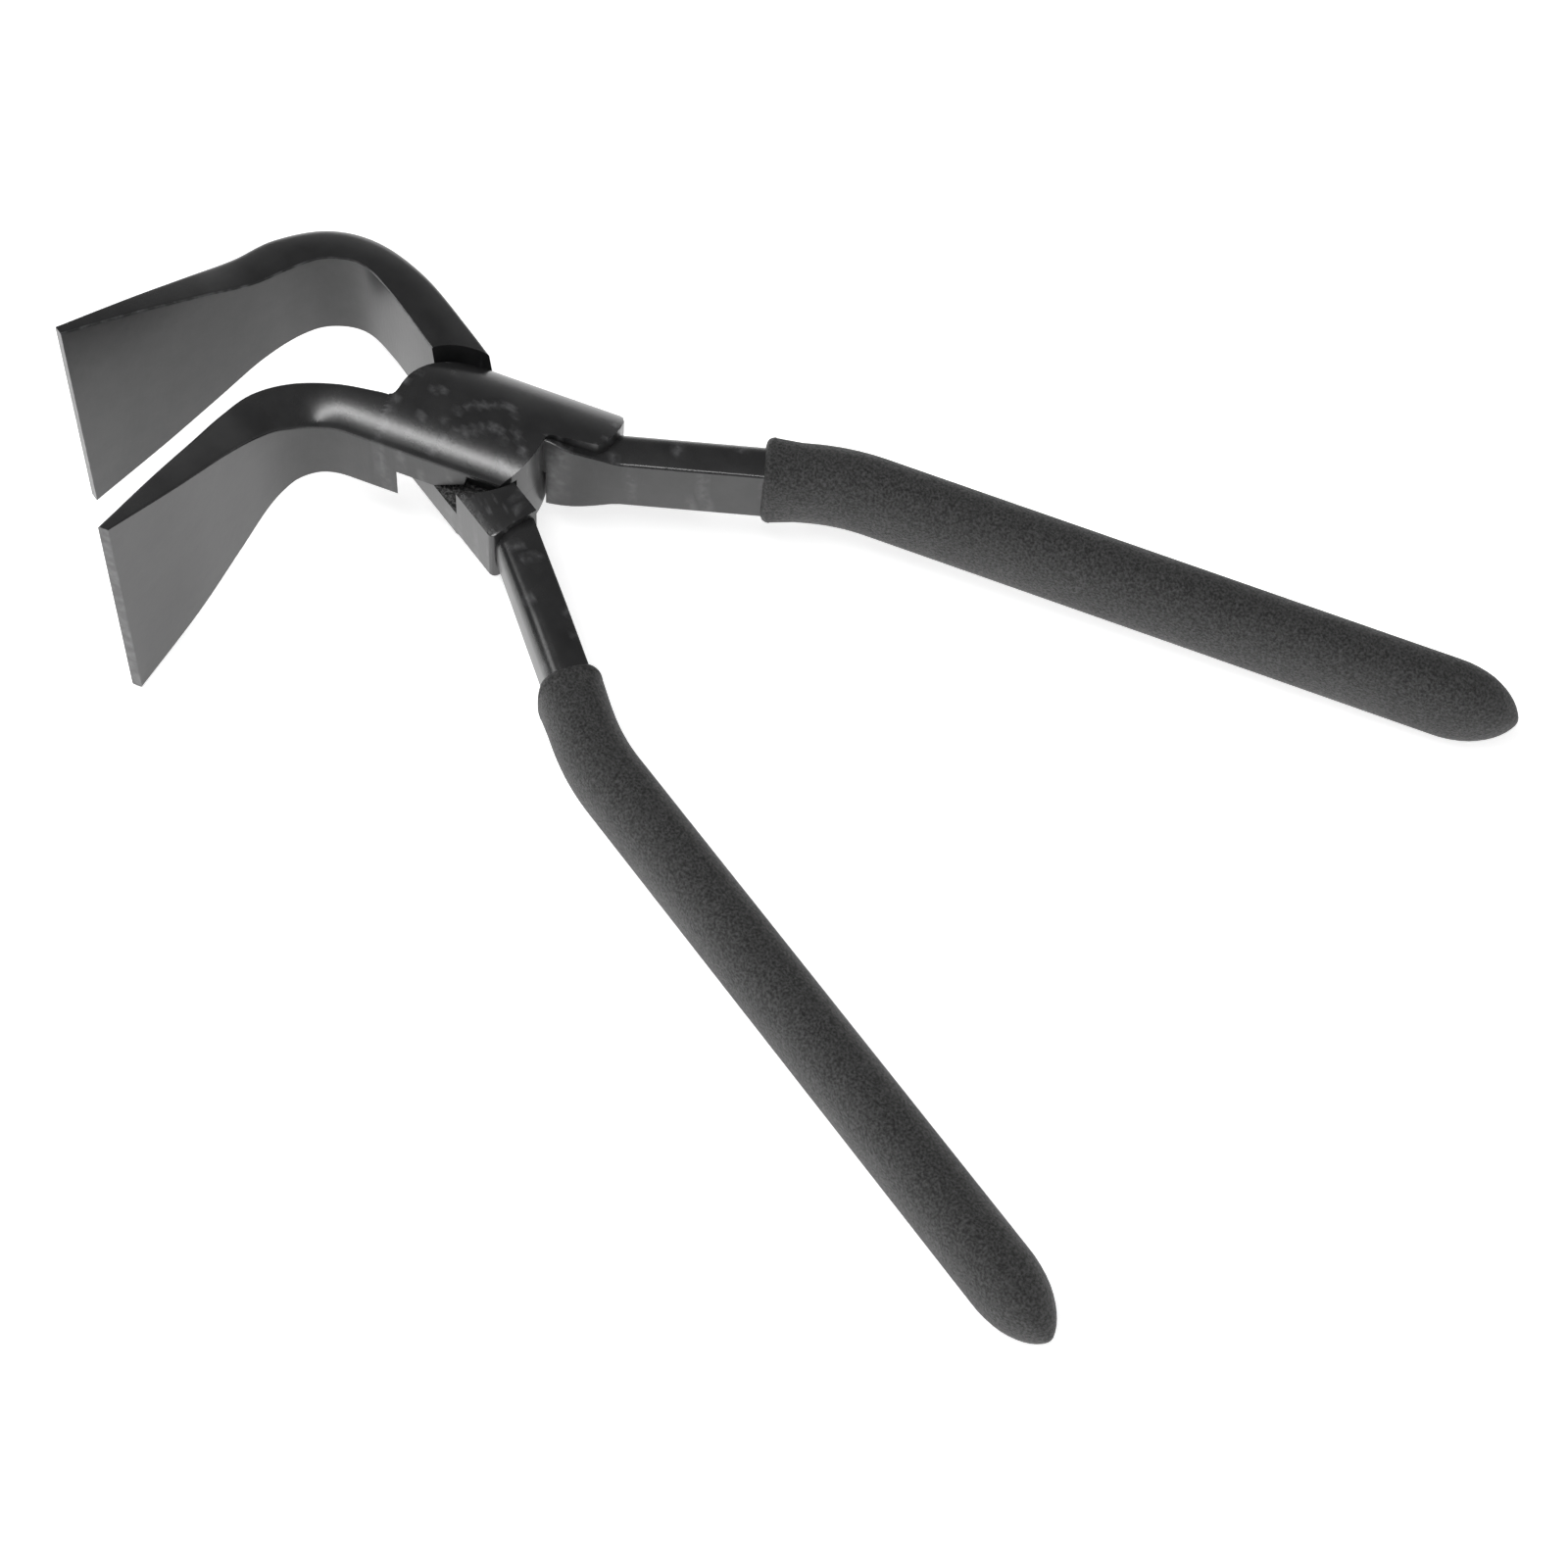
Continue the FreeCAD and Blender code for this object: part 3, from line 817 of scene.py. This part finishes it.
def grip():
    """Sleeve of vinyl with a rounded mouth and a drawn-out point, solid round the steel core."""
    line = handle_line(GRIP_START, GRIP_END_X - GRIP_NOSE, 14)
    start, heading = line[0]
    along = Vector((math.cos(heading), math.sin(heading)))
    rings = []
    for distance, inset in GRIP_MOUTH:
        outline = grip_points(GRIP_HALF_WIDTH - inset, GRIP_HALF_HEIGHT - inset, MOUTH_FULLNESS)
        rings.append(across_handle((start + along * distance, heading), outline))
    for i, place in enumerate(line[4:-1]):
        fullness = min(GRIP_FULLNESS, MOUTH_FULLNESS + 0.02 + 0.012 * i)
        rings.append(across_handle(place, grip_points(GRIP_HALF_WIDTH, GRIP_HALF_HEIGHT, fullness)))
    straight_start = line[-2][0]
    nose_start = line[-1][0]
    for step in range(1, STRAIGHT_STEPS):
        centre = straight_start + (nose_start - straight_start) * step / STRAIGHT_STEPS
        outline = grip_points(GRIP_HALF_WIDTH, GRIP_HALF_HEIGHT, GRIP_FULLNESS)
        rings.append(across_handle((centre, 0), outline))
    for part, scale in GRIP_NOSE_PROFILE:
        centre = nose_start + Vector((GRIP_NOSE * part, 0))
        outline = grip_points(GRIP_HALF_WIDTH * scale, GRIP_HALF_HEIGHT * scale, GRIP_FULLNESS)
        rings.append(across_handle((centre, 0), outline))
    return skinned(rings)


def vinyl_grain_group():
    """Fine leathery grain of dipped vinyl: cells with soft crowns, and specks between them that also place
    painted glints.
    """
    group, given, made = new_group(
        "vinyl_grain",
        [("Place", "NodeSocketVector"), ("Fineness", "NodeSocketFloat")],
        [("Height", "NodeSocketFloat"), ("Painted_glint_specks", "NodeSocketFloat"), ("Patches", "NodeSocketFloat")],
    )
    place = given.outputs["Place"]
    scaled = group.nodes.new("ShaderNodeVectorMath")
    scaled.operation = "SCALE"
    group.links.new(place, scaled.inputs[0])
    group.links.new(given.outputs["Fineness"], scaled.inputs["Scale"])
    fine = noise_in(group, scaled.outputs["Vector"], 1.0, 5, 0.7).outputs["Fac"]
    specks_and_painted_glints = noise_in(group, scaled.outputs["Vector"], 1.9, 2, 0.5).outputs["Fac"]
    height = maths(group, "ADD", fine, maths(group, "MULTIPLY", specks_and_painted_glints, 0.5))
    group.links.new(height, made.inputs["Height"])
    group.links.new(specks_and_painted_glints, made.inputs["Painted_glint_specks"])
    group.links.new(noise_in(group, place, 45, 3).outputs["Fac"], made.inputs["Patches"])
    return group


def black_vinyl():
    """Matt black vinyl with a grain, and pale painted glints on the grain's specks."""
    material, tree, shader, place = new_material("black_vinyl")
    grain = placed_group(tree, vinyl_grain_group(), place)
    grain.inputs["Fineness"].default_value = 1000
    specks_and_painted_glints = spread(tree, grain.outputs["Painted_glint_specks"], 0.35, 0.7, 0, 1)
    # The pale specks are painted glints of light on the grain, not a colour of the vinyl.
    tree.links.new(mixed(tree, specks_and_painted_glints, VINYL_DARK, VINYL_PAINTED_GLINT), shader.inputs["Base Color"])
    matt = spread(tree, grain.outputs["Patches"], 0.3, 0.7, 0.5, 0.62)
    tree.links.new(matt, shader.inputs["Roughness"])
    shader.inputs["Specular IOR Level"].default_value = 0.5
    bumped(tree, grain.outputs["Height"], 0.0008, shader)
    return material


vinyl = black_vinyl()
for side, swing, body in (("upper", REST_SWING, "upper_half"), ("lower", -REST_SWING, "lower_half")):
    sleeve = grip() if side == "upper" else mirrored(grip())
    piece = finished(
        side + "_grip_sleeve", sleeve, swing, body, side + "_arm_grip", lambda face: 0
    )
    piece.data.materials.append(vinyl)

# ---- Table, light and camera ----
# A plain white light table that the blades' corners and the grips' ends rest on. A long softbox overhead
# draws the highlight along the boss, and the camera looks down over the handles.
blade_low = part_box("lower_arm")[0].z
grip_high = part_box("lower_arm_grip")[1].x
grip_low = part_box("lower_arm_grip")[0].z
jaw_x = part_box("lower_arm")[0].x
TABLE_SIZE = 6.0
TABLE_GAP = 0.0015


def light_table():
    """White table, tilted to touch the blades and the grips."""
    tilt = math.atan2(grip_low - blade_low, grip_high - jaw_x)
    solid = bmesh.new()
    bmesh.ops.create_grid(solid, x_segments=1, y_segments=1, size=TABLE_SIZE)
    bmesh.ops.rotate(solid, cent=(0, 0, 0), matrix=Matrix.Rotation(-tilt, 3, "Y"), verts=solid.verts)
    bmesh.ops.translate(solid, vec=(jaw_x * 0.6, 0, blade_low - TABLE_GAP), verts=solid.verts)
    mesh = bpy.data.meshes.new("light_table")
    solid.to_mesh(mesh)
    solid.free()
    table = bpy.data.objects.new("light_table", mesh)
    bpy.context.scene.collection.objects.link(table)
    material, _tree, shader, _place = new_material("white_table")
    shader.inputs["Base Color"].default_value = (0.9, 0.9, 0.9, 1)
    shader.inputs["Roughness"].default_value = 0.8
    shader.inputs["Specular IOR Level"].default_value = 0.1
    shader.inputs["Emission Color"].default_value = (1, 1, 1, 1)
    shader.inputs["Emission Strength"].default_value = 0.7
    mesh.materials.append(material)


def softbox(name, place, target, size, power):
    """Rectangular area light aimed at a point."""
    data = bpy.data.lights.new(name, "AREA")
    data.shape = "RECTANGLE"
    data.size, data.size_y = size
    data.energy = power
    lamp = bpy.data.objects.new(name, data)
    lamp.location = place
    lamp.rotation_mode = "QUATERNION"
    lamp.rotation_quaternion = (Vector(target) - Vector(place)).to_track_quat("-Z", "Y")
    bpy.context.scene.collection.objects.link(lamp)


def room():
    """Dim ceiling over bright walls."""
    world = bpy.data.worlds.new("studio")
    bpy.context.scene.world = world
    world.use_nodes = True
    tree = world.node_tree
    direction = tree.nodes.new("ShaderNodeTexCoord").outputs["Generated"]
    parts = tree.nodes.new("ShaderNodeSeparateXYZ")
    tree.links.new(direction, parts.inputs[0])
    shade = spread(tree, parts.outputs["Z"], 0.0, 0.5, 0.5, 0.2)
    background = tree.nodes["Background"]
    background.inputs["Color"].default_value = (1, 1, 1, 1)
    tree.links.new(shade, background.inputs["Strength"])


light_table()
room()
softbox("overhead_softbox", (-0.05, -0.35, 1.0), (0.0, 0.0, 0.0), (0.9, 0.16), 7)
softbox("side_fill", (-0.9, -0.7, 0.5), (0.0, 0.0, 0.0), (0.6, 0.6), 4)

camera_data = bpy.data.cameras.new("camera")
camera_data.sensor_width = 36.0
camera_data.lens = 76.22
camera = bpy.data.objects.new("camera", camera_data)
camera_right = Vector((0.79595, 0.60213, 0.06254))
camera_up = Vector((-0.55583, 0.68598, 0.46956))
camera_back = Vector((0.23983, -0.40850, 0.88069))
turn = Matrix((camera_right, camera_up, camera_back)).transposed().to_4x4()
camera.matrix_world = Matrix.Translation((0.251778, -0.285869, 0.569294)) @ turn
camera_data.clip_start = 0.01
camera_data.clip_end = 30.0
bpy.context.scene.collection.objects.link(camera)
bpy.context.scene.camera = camera
bpy.context.scene.view_settings.view_transform = "Standard"
